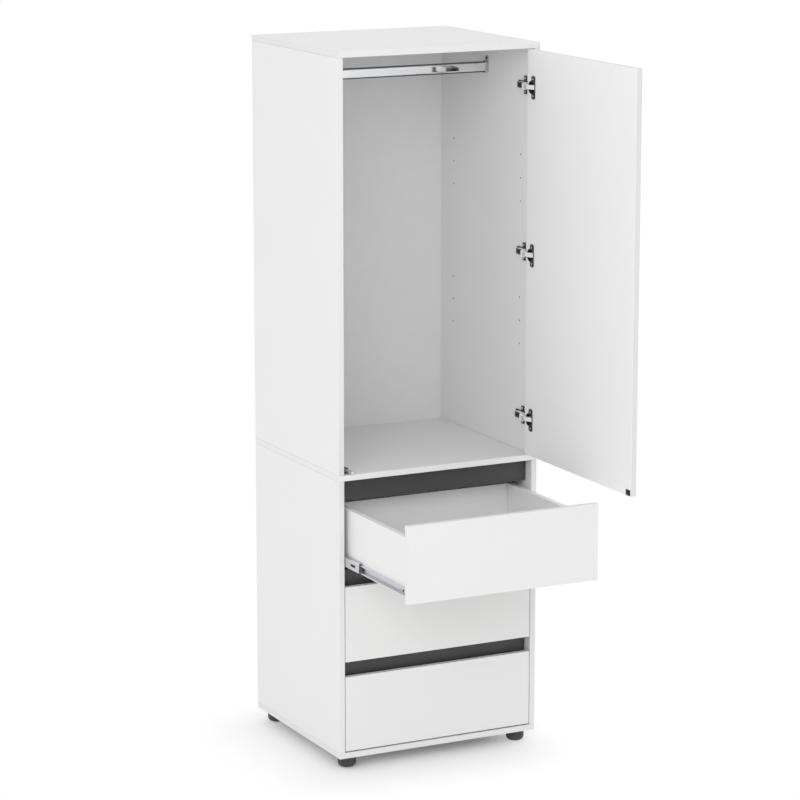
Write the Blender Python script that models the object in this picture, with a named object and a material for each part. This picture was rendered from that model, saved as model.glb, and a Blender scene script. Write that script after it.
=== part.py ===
"""Wardrobe of white faced board: a hanging space behind a hinged door, above three drawers."""
import math

import bmesh
import bpy
from mathutils import Vector

# Carcass sizes, in metres
CARCASS_WIDTH = 0.600
CARCASS_DEPTH = 0.537
BOARD = 0.016
EDGE_CHAMFER = 0.0006
DOOR_OPENING_HEIGHT = 1.108
BACK_THICKNESS = 0.003
BACK_INSET = 0.001
SEAM = 0.0003

# Feet
FOOT_HEIGHT = 0.033
FOOT_RADIUS = 0.025
FOOT_ROUND = 0.012
FOOT_INSET_SIDE = 0.040
FOOT_INSET_FRONT = 0.040
FOOT_INSET_BACK = 0.040

# Drawers
DRAWER_NAMES = ("lower", "middle", "upper")
DRAWER_PULL = {"lower": 0.0, "middle": 0.0, "upper": 0.3675}
DRAWER_FRONT_HEIGHT = 0.208
DRAWER_GAP_SIDE = 0.002
DRAWER_GAP_BELOW = 0.004
DRAWER_BOX_DEPTH = 0.450
DRAWER_SIDE_HEIGHT = 0.160
DRAWER_SIDE_RISE = 0.011
DRAWER_BOTTOM = 0.003
GROOVE_RISE = 0.010
GROOVE_DEPTH = 0.006

# Recessed grip strips behind the gaps over the drawer fronts
GRIP_GAP = 0.042
GRIP_SETBACK = 0.032
GRIP_OVERLAP = 0.020

# Telescopic drawer slides
SLIDE_SETBACK = 0.004
SLIDE_RISE = 0.029
SLIDE_HEIGHT = 0.035
SLIDE_SPACE = 0.0127
SLIDE_SHEET = 0.0012
SLIDE_REACH = 0.009
SLIDE_RUN = 0.0003
BALL_SPACE = 0.0028
BALL_ROW_START = 0.005
BALL_ROW_WIDTH = 0.003
MIDDLE_MEMBER_LENGTH = 0.400
MIDDLE_MEMBER_SETBACK = 0.044
MIDDLE_MEMBER_SHARE = 0.4

# Door and its pivot, measured from the door's outer corner on the hinge side
DOOR_ANGLE = 90.0
DOOR_GAP = 0.002
PIVOT_INSET = 0.003
PIVOT_DEPTH = 0.003

# Cup hinges
HINGE_NAMES = ("lower", "middle", "upper")
HINGE_END_DISTANCE = 0.100
CUP_RADIUS = 0.0175
CUP_DEPTH = 0.0115
CUP_WALL = 0.0008
CUP_CENTRE = 0.0225
FLANGE_HEIGHT = 0.062
FLANGE_WIDTH = 0.020
FLANGE_OFFSET = 0.0095
FLANGE_CORNER = 0.006
FLANGE_THICKNESS = 0.0012
TONGUE_HALF_HEIGHT = 0.0059
TONGUE_PAST_EDGE = 0.0015
TONGUE_OVER_CUP = 0.012
TONGUE_RISE = 0.004
LINK_REACH = 0.030
LINK_DROP = 0.003
ARM_SHEET = 0.0013
ARM_CHEEK = 0.0016
NOSE_DEPTH = 0.005
NOSE_CLEAR = 0.0005
ARM_CRANK_DROP = 0.003
ARM_CRANK_LENGTH = 0.014
ARM_LENGTH = 0.064
ARM_RISE = 0.015
PLATE_THICKNESS = 0.003
PLATE_FRONT = 0.028
PLATE_LENGTH = 0.058
PLATE_HALF_HEIGHT = 0.0105
PLATE_SCREW_LINE = 0.0475
WING_WIDTH = 0.014
WING_HALF_SPAN = 0.0245

# Shelf pin holes in the upper sides
PIN_HOLE_RADIUS = 0.0025
PIN_HOLE_DEPTH = 0.010
PIN_PITCH = 0.064
PIN_GROUP_HEIGHTS = (0.360, 0.752)
PIN_ROW_INSET = 0.0745

# Garment rail and its end sockets
RAIL_WIDTH = 0.015
RAIL_HEIGHT = 0.030
RAIL_WALL = 0.0010
RAIL_BELOW_TOP = 0.073
RAIL_SETBACK = 0.268
SOCKET_WALL = 0.002
SOCKET_BASE = 0.002
SOCKET_LENGTH = 0.010
SOCKET_TAB = 0.014

# Push latch on the middle panel
LATCH_FROM_SIDE = 0.014
LATCH_BEHIND_DOOR = 0.002
LATCH_LENGTH = 0.068
LATCH_WIDTH = 0.022
LATCH_BASE = 0.003
LATCH_BARREL_RADIUS = 0.007
LATCH_AXIS_RISE = 0.0095
LATCH_BORE_DEPTH = 0.058
PLUNGER_RADIUS = 0.0040
PLUNGER_LENGTH = 0.056
PLUNGER_STROKE = 0.038
PLUNGER_ROUND = 0.0012

# Fineness of round pieces
ROUND_STEPS = 6
HOLE_SIDES = 10
CUP_SIDES = 32
FOOT_SIDES = 24
PLUNGER_SIDES = 16
SMOOTH_ANGLE = math.radians(35)
CUT_MARGIN = 0.001

# Levels and planes worked out from the sizes, with the carcass underside at height zero
half_width = CARCASS_WIDTH / 2
inner_half = half_width - BOARD
drawer_pitch = DRAWER_FRONT_HEIGHT + GRIP_GAP
first_front = BOARD + DRAWER_GAP_BELOW
middle_low = first_front + drawer_pitch * len(DRAWER_NAMES)
middle_top = middle_low + BOARD
top_low = middle_top + DOOR_OPENING_HEIGHT
top_high = top_low + BOARD
back_face = CARCASS_DEPTH + SEAM + BACK_THICKNESS
door_low = middle_top + DOOR_GAP
door_high = top_low - DOOR_GAP
door_width = 2 * (inner_half - DOOR_GAP)
pivot_x = inner_half - DOOR_GAP - PIVOT_INSET
slide_length = DRAWER_BOX_DEPTH
hinge_heights = (door_low + HINGE_END_DISTANCE, (door_low + door_high) / 2, door_high - HINGE_END_DISTANCE)


def overall_front():
    """Find how far forward the open door or a pulled drawer reaches."""
    turn = math.radians(DOOR_ANGLE)
    reaches = [-pull for pull in DRAWER_PULL.values()]
    for depth in (-PIVOT_DEPTH, BOARD - PIVOT_DEPTH):
        free_edge = -(door_width - PIVOT_INSET)
        reaches.append(PIVOT_DEPTH + math.sin(turn) * free_edge + math.cos(turn) * depth)
    return min(reaches)


def material(name, colour, roughness, metallic=0.0):
    """Make a plain finish from a linear grey or colour."""
    finish = bpy.data.materials.new(name)
    finish.use_nodes = True
    shader = finish.node_tree.nodes["Principled BSDF"]
    shader.inputs["Base Color"].default_value = (*colour, 1.0)
    shader.inputs["Roughness"].default_value = roughness
    shader.inputs["Metallic"].default_value = metallic
    return finish


def empty(name, place, parent=None):
    """Add an empty that carries the pieces of one moving group."""
    carrier = bpy.data.objects.new(name, None)
    carrier.location = place
    carrier.parent = parent
    bpy.context.scene.collection.objects.link(carrier)
    return carrier


def add(name, bm, finish, parent, place=(0, 0, 0), smooth=False):
    """Turn a closed bmesh into a named piece under its parent."""
    bmesh.ops.recalc_face_normals(bm, faces=bm.faces[:])
    mesh = bpy.data.meshes.new(name)
    bm.to_mesh(mesh)
    bm.free()
    if finish:
        mesh.materials.append(finish)
    if smooth:
        mesh.shade_smooth()
        mesh.set_sharp_from_angle(angle=SMOOTH_ANGLE)
    piece = bpy.data.objects.new(name, mesh)
    piece.location = place
    piece.parent = parent
    bpy.context.scene.collection.objects.link(piece)
    return piece


def combine(piece, bm, operation, smooth=False):
    """Cut a shape out of a piece, or join one to it, in the piece's own place."""
    tool = add(f"{piece.name}_tool", bm, None, piece.parent, piece.location, smooth)
    tool.hide_render = True
    tool.display_type = "WIRE"
    change = piece.modifiers.new(operation.lower(), "BOOLEAN")
    change.operation = operation
    change.solver = "EXACT"
    change.object = tool


def block(low, high, chamfer=0.0):
    """Shape a box between two corners, with its edges chamfered if asked."""
    low = Vector(low)
    high = Vector(high)
    bm = bmesh.new()
    bmesh.ops.create_cube(bm, size=1.0)
    bmesh.ops.scale(bm, vec=high - low, verts=bm.verts)
    bmesh.ops.translate(bm, vec=(low + high) / 2, verts=bm.verts)
    if chamfer:
        bmesh.ops.bevel(bm, geom=bm.edges[:], offset=chamfer, segments=1, profile=0.5, affect="EDGES")
    return bm


def board(name, low, high, finish, parent):
    """Add a flat board between two corners, with its origin at its middle."""
    middle = (Vector(low) + Vector(high)) / 2
    shape = block(Vector(low) - middle, Vector(high) - middle, EDGE_CHAMFER)
    return add(name, shape, finish, parent, middle)


def spot(axis, along, point):
    """Place an outline's point across an axis: X takes (y, z), Y takes (x, z), Z takes (x, y)."""
    if axis == "X":
        return Vector((along, point[0], point[1]))
    if axis == "Y":
        return Vector((point[0], along, point[1]))
    return Vector((point[0], point[1], along))


def thicken(bm, faces, vec):
    """Extrude flat faces into a solid."""
    grown = bmesh.ops.extrude_face_region(bm, geom=faces)["geom"]
    moved = [item for item in grown if isinstance(item, bmesh.types.BMVert)]
    bmesh.ops.translate(bm, vec=vec, verts=moved)
    bmesh.ops.recalc_face_normals(bm, faces=bm.faces[:])


def prism(outline, start, end, axis):
    """Extrude a flat outline along an axis."""
    bm = bmesh.new()
    face = bm.faces.new([bm.verts.new(spot(axis, start, point)) for point in outline])
    thicken(bm, [face], spot(axis, end - start, (0, 0)))
    return bm


def tube(outer, inner, start, end, axis):
    """Extrude the ring between two outlines with as many points each."""
    bm = bmesh.new()
    edges = []
    for outline in (outer, inner):
        verts = [bm.verts.new(spot(axis, start, point)) for point in outline]
        edges += [bm.edges.new((verts[index - 1], verts[index])) for index in range(len(verts))]
    ring = bmesh.ops.bridge_loops(bm, edges=edges)["faces"]
    thicken(bm, ring, spot(axis, end - start, (0, 0)))
    return bm


def rounded(width, height, corner, middle=(0.0, 0.0)):
    """Outline a rectangle with round corners."""
    points = []
    for quarter, (right, up) in enumerate(((1, 1), (-1, 1), (-1, -1), (1, -1))):
        for step in range(ROUND_STEPS + 1):
            turn = math.pi / 2 * (quarter + step / ROUND_STEPS)
            across = middle[0] + right * (width / 2 - corner) + corner * math.cos(turn)
            along = middle[1] + up * (height / 2 - corner) + corner * math.sin(turn)
            if not points or math.dist(points[-1], (across, along)) > SEAM:
                points.append((across, along))
    if math.dist(points[0], points[-1]) < SEAM:
        points.pop()
    return points


def circle(radius, sides, middle=(0.0, 0.0)):
    """Outline a circle."""
    turns = [2 * math.pi * index / sides for index in range(sides)]
    return [(middle[0] + radius * math.cos(turn), middle[1] + radius * math.sin(turn)) for turn in turns]


def mirrored(outline, side):
    """Turn an outline that grows away from a wall towards the inside for the left or right wall."""
    return [(-side * across, along) for across, along in outline]


def front_low(index):
    """Height of a drawer front's lower edge."""
    return first_front + drawer_pitch * index


def add_carcass(root, white, back_white):
    """Three full-width panels with two pairs of sides standing between them, and a thin back."""
    for name, low in (("bottom_panel", 0.0), ("middle_panel", middle_low), ("top_panel", top_low)):
        board(name, (-half_width, 0, low), (half_width, CARCASS_DEPTH, low + BOARD), white, root)
    for side, label in ((-1, "left"), (1, "right")):
        inner, outer = sorted((side * inner_half, side * half_width))
        for level, bottom, top in (("lower", BOARD, middle_low), ("upper", middle_top, top_low)):
            low = (inner, 0, bottom + SEAM)
            high = (outer, CARCASS_DEPTH, top - SEAM)
            panel = board(f"{level}_side_{label}", low, high, white, root)
            if level == "upper":
                combine(panel, shelf_pin_holes(side, panel.location), "DIFFERENCE")
    board("back_panel", (BACK_INSET - half_width, CARCASS_DEPTH + SEAM, BACK_INSET),
          (half_width - BACK_INSET, back_face, top_high - BACK_INSET), back_white, root)


def shelf_pin_holes(side, middle):
    """Shape the two rows of blind holes in an upper side, about the side's own middle."""
    bm = bmesh.new()
    wall = side * inner_half - middle.x
    for depth in (PIN_ROW_INSET, CARCASS_DEPTH - PIN_ROW_INSET):
        for group in PIN_GROUP_HEIGHTS:
            for offset in (-PIN_PITCH, 0, PIN_PITCH):
                place = (depth - middle.y, middle_top + group + offset - middle.z)
                outline = circle(PIN_HOLE_RADIUS, HOLE_SIDES, place)
                points = [spot("X", wall - side * CUT_MARGIN, point) for point in outline]
                face = bm.faces.new([bm.verts.new(point) for point in points])
                thicken(bm, [face], (side * (PIN_HOLE_DEPTH + CUT_MARGIN), 0, 0))
    return bm


def add_feet(root, plastic):
    """Round glides under the corners of the bottom panel."""
    height = FOOT_HEIGHT - SEAM
    rows = (("front", FOOT_INSET_FRONT), ("back", CARCASS_DEPTH - FOOT_INSET_BACK))
    for side, label in ((-1, "left"), (1, "right")):
        for row, depth in rows:
            bm = prism(circle(FOOT_RADIUS, FOOT_SIDES), -height, 0, "Z")
            rim = [edge for edge in bm.edges if all(vert.co.z < -height / 2 for vert in edge.verts)]
            bmesh.ops.bevel(bm, geom=rim, offset=FOOT_ROUND, segments=4, profile=0.5, affect="EDGES")
            place = (side * (half_width - FOOT_INSET_SIDE), depth, -SEAM)
            add(f"foot_{row}_{label}", bm, plastic, root, place, smooth=True)


def add_grip_strips(root, anthracite):
    """Dark strips set back behind the finger gaps, which close the view into the drawers."""
    for index, name in enumerate(DRAWER_NAMES):
        front_high = front_low(index) + DRAWER_FRONT_HEIGHT
        board(f"{name}_grip_strip", (SEAM - inner_half, GRIP_SETBACK, front_high - GRIP_OVERLAP),
              (inner_half - SEAM, GRIP_SETBACK + BOARD, front_high + GRIP_GAP - SEAM), anthracite, root)


def add_garment_rail(root, chrome):
    """Flat-oval tube between two screwed-on end sockets."""
    middle = (RAIL_SETBACK, top_low - RAIL_BELOW_TOP)
    reach = inner_half - SEAM - SOCKET_BASE - SEAM
    outer = rounded(RAIL_WIDTH, RAIL_HEIGHT, RAIL_WIDTH / 2)
    bore = RAIL_WIDTH - 2 * RAIL_WALL
    inner = rounded(bore, RAIL_HEIGHT - 2 * RAIL_WALL, bore / 2)
    add("garment_rail", tube(outer, inner, -reach, reach, "X"), chrome, root, (0, *middle), smooth=True)
    socket_bore = RAIL_WIDTH + 2 * SEAM
    socket_width = socket_bore + 2 * SOCKET_WALL
    hollow = rounded(socket_bore, RAIL_HEIGHT + 2 * SEAM, socket_bore / 2)
    collar = rounded(socket_width, RAIL_HEIGHT + 2 * (SEAM + SOCKET_WALL), socket_width / 2)
    base = rounded(socket_width, RAIL_HEIGHT + 2 * (SEAM + SOCKET_WALL) + SOCKET_TAB, socket_width / 2,
                   (0, SOCKET_TAB / 2))
    for side, label in ((-1, "left"), (1, "right")):
        place = (side * (inner_half - SEAM), *middle)
        plate = prism(base, 0, -side * SOCKET_BASE, "X")
        socket = add(f"rail_socket_{label}", plate, chrome, root, place, smooth=True)
        sleeve = tube(collar, hollow, -side * SOCKET_BASE / 2, -side * SOCKET_LENGTH, "X")
        combine(socket, sleeve, "UNION", smooth=True)


def tongue_sweep(across):
    """Distance of a raised corner of the hinge tongue from the pivot."""
    return math.hypot(across, BOARD + TONGUE_RISE - PIVOT_DEPTH)


def hinge_arm_outlines():
    """Outlines of the cranked arm and of the slot between its cheeks, as (from wall, from front) points."""
    edge_sweep = tongue_sweep(TONGUE_PAST_EDGE + PIVOT_INSET)
    over_sweep = tongue_sweep(TONGUE_OVER_CUP - PIVOT_INSET)
    web = DOOR_GAP + PIVOT_INSET + max(edge_sweep, over_sweep) + NOSE_CLEAR
    web_start = PIVOT_DEPTH + edge_sweep + NOSE_CLEAR
    outside = web + ARM_SHEET
    nose = BOARD - CUP_DEPTH + CUP_WALL + NOSE_CLEAR
    crank = web_start + ARM_CRANK_DROP
    crank_end = crank + ARM_CRANK_LENGTH
    end = nose + ARM_LENGTH
    foot = PLATE_THICKNESS / 2
    arm = [(outside - NOSE_DEPTH, nose), (outside, nose), (outside, crank), (ARM_RISE, crank_end),
           (ARM_RISE, end), (foot, end), (foot, PLATE_FRONT + foot), (outside - NOSE_DEPTH, BOARD + foot)]
    channel = ARM_RISE - ARM_SHEET
    beyond = outside + CUT_MARGIN
    slot = [(-CUT_MARGIN, nose - CUT_MARGIN), (beyond, nose - CUT_MARGIN), (beyond, web_start),
            (web, web_start), (web, crank), (channel, crank_end), (channel, end + CUT_MARGIN),
            (-CUT_MARGIN, end + CUT_MARGIN)]
    return arm, slot


def hinge_plate_outline():
    """Outline of the winged mounting plate on the wall, as (from front, height) points."""
    wing = (PLATE_SCREW_LINE - WING_WIDTH / 2, PLATE_SCREW_LINE + WING_WIDTH / 2)
    end = PLATE_FRONT + PLATE_LENGTH
    lower = [(PLATE_FRONT, -PLATE_HALF_HEIGHT), (wing[0], -PLATE_HALF_HEIGHT), (wing[0], -WING_HALF_SPAN),
             (wing[1], -WING_HALF_SPAN), (wing[1], -PLATE_HALF_HEIGHT), (end, -PLATE_HALF_HEIGHT)]
    upper = [(depth, -height) for depth, height in reversed(lower)]
    return lower + upper


def add_hinge_arms(root, steel):
    """Cranked hinge arms on their mounting plates, on the right wall of the hanging space."""
    arm, slot = hinge_arm_outlines()
    cheek_inside = TONGUE_HALF_HEIGHT + SEAM
    cheek_outside = cheek_inside + ARM_CHEEK
    for name, height in zip(HINGE_NAMES, hinge_heights):
        shape = prism(mirrored(arm, 1), -cheek_outside, cheek_outside, "Z")
        piece = add(f"{name}_hinge_arm", shape, steel, root, (inner_half, 0, height))
        combine(piece, prism(mirrored(slot, 1), -cheek_inside, cheek_inside, "Z"), "DIFFERENCE")
        combine(piece, prism(hinge_plate_outline(), -SEAM, -PLATE_THICKNESS, "X"), "UNION")


def add_door(pivot, white, steel):
    """Door board with bored pockets, and the hinge cups seated in them."""
    inner_face = BOARD - PIVOT_DEPTH
    door = board("door_panel", (PIVOT_INSET - door_width, -PIVOT_DEPTH, door_low),
                 (PIVOT_INSET, inner_face, door_high), white, pivot)
    pockets = bmesh.new()
    pocket_sides = circle(CUP_RADIUS + SEAM, CUP_SIDES)
    cup_x = PIVOT_INSET - CUP_CENTRE
    for name, height in zip(HINGE_NAMES, hinge_heights):
        centre = Vector((cup_x, inner_face, height))
        shift = centre - door.location
        points = [spot("Y", CUT_MARGIN, point) + shift for point in pocket_sides]
        face = pockets.faces.new([pockets.verts.new(point) for point in points])
        thicken(pockets, [face], (0, -CUT_MARGIN - CUP_DEPTH - SEAM, 0))
        add_hinge_cup(name, centre, pivot, steel)
    combine(door, pockets, "DIFFERENCE")


def add_hinge_cup(name, centre, pivot, steel):
    """Open bowl with two screw wings, and the link that runs between the arm's cheeks into the bowl."""
    rim = SEAM + FLANGE_THICKNESS
    bowl = prism(circle(CUP_RADIUS, CUP_SIDES), -CUP_DEPTH, rim, "Y")
    cup = add(f"{name}_hinge_cup", bowl, steel, pivot, centre, smooth=True)
    flange = rounded(FLANGE_WIDTH, FLANGE_HEIGHT, FLANGE_CORNER, (-FLANGE_OFFSET, 0))
    combine(cup, prism(flange, SEAM, rim, "Y"), "UNION")
    hollow = circle(CUP_RADIUS - CUP_WALL, CUP_SIDES)
    combine(cup, prism(hollow, CUP_WALL - CUP_DEPTH, rim + CUT_MARGIN, "Y"), "DIFFERENCE", smooth=True)
    edge = CUP_CENTRE + TONGUE_PAST_EDGE
    over = CUP_CENTRE - TONGUE_OVER_CUP
    deep = CUP_CENTRE - LINK_REACH
    floor = CUP_WALL / 2 - CUP_DEPTH
    link = [(edge, SEAM), (edge, TONGUE_RISE), (over, TONGUE_RISE), (deep, -LINK_DROP), (deep, floor),
            (over, floor), (over, SEAM)]
    combine(cup, prism(link, -TONGUE_HALF_HEIGHT, TONGUE_HALF_HEIGHT, "Z"), "UNION")


def add_latch(root, plastic, tip_plastic):
    """Push latch that springs the door open: a barrel on a screwed base, with its sliding plunger."""
    front = BOARD + LATCH_BEHIND_DOOR
    side_x = LATCH_FROM_SIDE - inner_half
    foot = [(-LATCH_WIDTH / 2, SEAM), (LATCH_WIDTH / 2, SEAM), (LATCH_WIDTH / 2, LATCH_BASE),
            (-LATCH_WIDTH / 2, LATCH_BASE)]
    base = prism(foot, 0, LATCH_LENGTH, "Y")
    housing = add("latch_housing", base, plastic, root, (side_x, front, middle_top))
    axis = (0.0, LATCH_AXIS_RISE)
    barrel_end = CUT_MARGIN / 2
    barrel = prism(circle(LATCH_BARREL_RADIUS, FOOT_SIDES, axis), barrel_end, LATCH_LENGTH - barrel_end, "Y")
    combine(housing, barrel, "UNION", smooth=True)
    bore = circle(PLUNGER_RADIUS + SEAM, PLUNGER_SIDES, axis)
    combine(housing, prism(bore, -CUT_MARGIN, LATCH_BORE_DEPTH, "Y"), "DIFFERENCE", smooth=True)
    carrier = empty("latch_axis", (side_x, BOARD - PLUNGER_STROKE, middle_top + LATCH_AXIS_RISE), root)
    plunger = prism(circle(PLUNGER_RADIUS, PLUNGER_SIDES), 0, PLUNGER_LENGTH, "Y")
    tip = [edge for edge in plunger.edges if all(vert.co.y < CUT_MARGIN for vert in edge.verts)]
    bmesh.ops.bevel(plunger, geom=tip, offset=PLUNGER_ROUND, segments=2, profile=0.5, affect="EDGES")
    add("latch_plunger", plunger, tip_plastic, carrier, smooth=True)


def slide_outlines():
    """Outlines of the outer, middle and inner slide members, as (from wall, height) points."""
    outer_high = SLIDE_HEIGHT / 2
    outer_in = outer_high - SLIDE_SHEET
    middle_high = outer_in - BALL_SPACE
    middle_in = middle_high - SLIDE_SHEET
    inner_high = middle_in - BALL_SPACE
    inner_in = inner_high - SLIDE_SHEET
    row_out = outer_in - SLIDE_RUN
    row_in = inner_high + SLIDE_RUN
    row_end = BALL_ROW_START + BALL_ROW_WIDTH
    outer_web = SEAM + SLIDE_SHEET
    middle_web = outer_web + SLIDE_RUN
    middle_web_in = middle_web + SLIDE_SHEET
    inner_web = SLIDE_SPACE - SEAM
    outer = [(SEAM, outer_high), (SLIDE_REACH, outer_high), (SLIDE_REACH, outer_in), (outer_web, outer_in)]
    middle = [(middle_web, middle_high), (BALL_ROW_START, middle_high), (BALL_ROW_START, row_out),
              (row_end, row_out), (row_end, middle_high), (SLIDE_REACH, middle_high), (SLIDE_REACH, middle_in),
              (row_end, middle_in), (row_end, row_in), (BALL_ROW_START, row_in), (BALL_ROW_START, middle_in),
              (middle_web_in, middle_in)]
    inner_edge = middle_web_in + SLIDE_RUN
    inner = [(inner_web, inner_high), (inner_edge, inner_high), (inner_edge, inner_in),
             (inner_web - SLIDE_SHEET, inner_in)]
    halves = (outer, middle, inner)
    return [half + [(across, -height) for across, height in reversed(half)] for half in halves]


def add_slides(name, low, root, runner, steel):
    """A pair of three-part telescopic slides between the lower sides and one drawer box."""
    outer, middle, inner = slide_outlines()
    start = BOARD + SLIDE_SETBACK
    pull = DRAWER_PULL[name]
    carrier = empty(f"{name}_slide_carrier", (0, -pull * MIDDLE_MEMBER_SHARE, 0), root)
    for side, label in ((-1, "left"), (1, "right")):
        place = Vector((side * inner_half, start, low + SLIDE_RISE))
        deeper = place + Vector((0, MIDDLE_MEMBER_SETBACK, 0))
        fixed = prism(mirrored(outer, side), 0, slide_length, "Y")
        travelling = prism(mirrored(middle, side), 0, MIDDLE_MEMBER_LENGTH, "Y")
        screwed_on = prism(mirrored(inner, side), 0, slide_length - SLIDE_SETBACK, "Y")
        add(f"{name}_slide_outer_{label}", fixed, steel, root, place)
        add(f"{name}_slide_middle_{label}", travelling, steel, carrier, deeper)
        add(f"{name}_slide_inner_{label}", screwed_on, steel, runner, place)


def add_drawer(index, name, root, white, hardboard, steel):
    """Drawer front and grooved box on a runner empty, with its slides."""
    low = front_low(index)
    runner = empty(f"{name}_drawer_runner", (0, -DRAWER_PULL[name], 0), root)
    front_half = inner_half - DRAWER_GAP_SIDE
    box_half = inner_half - SLIDE_SPACE
    box_low = low + DRAWER_SIDE_RISE
    box_high = box_low + DRAWER_SIDE_HEIGHT
    start = BOARD + SEAM
    end = BOARD + DRAWER_BOX_DEPTH
    groove = (box_low + GROOVE_RISE - SEAM, box_low + GROOVE_RISE + DRAWER_BOTTOM + SEAM)
    bottom_half = box_half - BOARD + GROOVE_DEPTH - SEAM
    cut_half = bottom_half + SEAM
    front_high = low + DRAWER_FRONT_HEIGHT
    front = board(f"{name}_drawer_front", (-front_half, 0, low), (front_half, BOARD, front_high), white, runner)
    cut_groove(front, (-cut_half, BOARD - GROOVE_DEPTH, groove[0]), (cut_half, BOARD + CUT_MARGIN, groove[1]))
    for side, label in ((-1, "left"), (1, "right")):
        across = sorted((side * box_half, side * (box_half - BOARD)))
        panel = board(f"{name}_drawer_side_{label}", (across[0], start, box_low), (across[1], end, box_high),
                      white, runner)
        reach = sorted((side * cut_half, side * (box_half - BOARD - CUT_MARGIN)))
        cut_groove(panel, (reach[0], start - CUT_MARGIN, groove[0]), (reach[1], end + CUT_MARGIN, groove[1]))
    back_half = box_half - BOARD - SEAM
    board(f"{name}_drawer_back", (-back_half, end - BOARD, groove[1]), (back_half, end, box_high), white,
          runner)
    board(f"{name}_drawer_bottom", (-bottom_half, start - GROOVE_DEPTH, groove[0] + SEAM),
          (bottom_half, end, groove[1] - SEAM), hardboard, runner)
    add_slides(name, low, root, runner, steel)


def cut_groove(piece, low, high):
    """Cut a straight groove for the drawer bottom, given in the runner's frame."""
    combine(piece, block(Vector(low) - piece.location, Vector(high) - piece.location), "DIFFERENCE")


def main():
    for item in list(bpy.data.objects):
        bpy.data.objects.remove(item, do_unlink=True)
    white = material("white_melamine_board", (0.80, 0.80, 0.80), 0.45)
    back_white = material("white_hardboard", (0.72, 0.72, 0.72), 0.60)
    anthracite = material("anthracite_melamine_board", (0.06, 0.06, 0.06), 0.50)
    black = material("black_plastic", (0.03, 0.03, 0.03), 0.50)
    grey = material("grey_plastic", (0.45, 0.45, 0.45), 0.45)
    zinc = material("zinc_plated_steel", (0.55, 0.56, 0.58), 0.35, 1.0)
    nickel = material("nickel_plated_steel", (0.66, 0.65, 0.62), 0.25, 1.0)
    chrome = material("chrome_plated_steel", (0.75, 0.76, 0.78), 0.12, 1.0)
    root = empty("wardrobe", (0, -(overall_front() + back_face) / 2, FOOT_HEIGHT))
    add_carcass(root, white, back_white)
    add_feet(root, black)
    add_grip_strips(root, anthracite)
    add_garment_rail(root, chrome)
    add_hinge_arms(root, nickel)
    pivot = empty("door_pivot", (pivot_x, PIVOT_DEPTH, 0), root)
    pivot.rotation_euler.z = math.radians(DOOR_ANGLE)
    add_door(pivot, white, nickel)
    add_latch(root, black, grey)
    for index, name in enumerate(DRAWER_NAMES):
        add_drawer(index, name, root, white, back_white, zinc)


main()
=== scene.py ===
# %% [markdown]
# # A wardrobe in white faced board
#
# The frame brings in the construction at its real size: boards, door, drawers, hinges, slides and feet.
# Nothing of it is moved here. The cells below give every board its finish, and model the small metal
# and plastic pieces whose bends, slots and screw heads a plain solid leaves out.

# %% Load the frame
import math

import bmesh
import bpy
from mathutils import Matrix, Vector


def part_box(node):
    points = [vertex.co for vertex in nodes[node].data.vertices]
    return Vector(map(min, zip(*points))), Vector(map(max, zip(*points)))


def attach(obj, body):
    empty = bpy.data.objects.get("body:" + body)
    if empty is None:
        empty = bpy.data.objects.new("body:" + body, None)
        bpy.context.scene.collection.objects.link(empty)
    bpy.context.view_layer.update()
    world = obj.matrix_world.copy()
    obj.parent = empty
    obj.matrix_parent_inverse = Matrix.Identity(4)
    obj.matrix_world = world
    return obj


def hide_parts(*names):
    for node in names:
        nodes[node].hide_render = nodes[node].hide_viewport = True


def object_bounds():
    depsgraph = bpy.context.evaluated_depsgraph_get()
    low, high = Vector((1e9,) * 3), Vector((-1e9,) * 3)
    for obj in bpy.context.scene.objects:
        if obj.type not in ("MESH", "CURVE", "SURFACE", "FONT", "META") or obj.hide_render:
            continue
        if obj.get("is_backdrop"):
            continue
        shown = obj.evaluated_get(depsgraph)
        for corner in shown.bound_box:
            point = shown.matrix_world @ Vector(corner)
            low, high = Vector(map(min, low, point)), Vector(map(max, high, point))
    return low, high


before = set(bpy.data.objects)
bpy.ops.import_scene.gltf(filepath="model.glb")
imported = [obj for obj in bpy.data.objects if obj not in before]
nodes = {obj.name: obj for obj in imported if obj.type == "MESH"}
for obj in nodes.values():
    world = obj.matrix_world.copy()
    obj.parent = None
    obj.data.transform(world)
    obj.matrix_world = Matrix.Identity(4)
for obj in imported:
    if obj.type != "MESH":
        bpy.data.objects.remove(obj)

MM = 0.001
scene = bpy.context.scene
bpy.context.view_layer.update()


def mm(*sizes):
    """Sizes in millimetres, as metres."""
    return tuple(size * MM for size in sizes)


# %% [markdown]
# ## Camera
#
# Tall furniture is photographed from some way off with a long lens, so that its uprights stay almost
# parallel. The camera could be placed by eye, but a turn, a drop and a distance from one aimed point
# say the same in sizes that can be read. It stands left of the middle and above the top, and has no
# shift, so other views are framed alike.

# %% Place the camera
VIEW_TURN = math.radians(26.785)
VIEW_DROP = math.radians(11.782)
VIEW_DISTANCE = 8.40
VIEW_POINT = Vector((-0.2057, -0.1640, 1.0489))
LENS = 145.21          # millimetres, on a sensor of the next width
SENSOR = 36.0

camera = bpy.data.objects.new("camera", bpy.data.cameras.new("camera"))
camera.data.lens = LENS
camera.data.sensor_width = SENSOR
sight = Vector((math.sin(VIEW_TURN), math.cos(VIEW_TURN), -math.tan(VIEW_DROP))).normalized()
camera.location = VIEW_POINT - VIEW_DISTANCE * sight
camera.rotation_euler = (math.pi / 2 - VIEW_DROP, 0, -VIEW_TURN)
scene.collection.objects.link(camera)
scene.camera = camera
scene.view_settings.view_transform = "Standard"
print("camera at", [round(c, 3) for c in camera.location])

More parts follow.
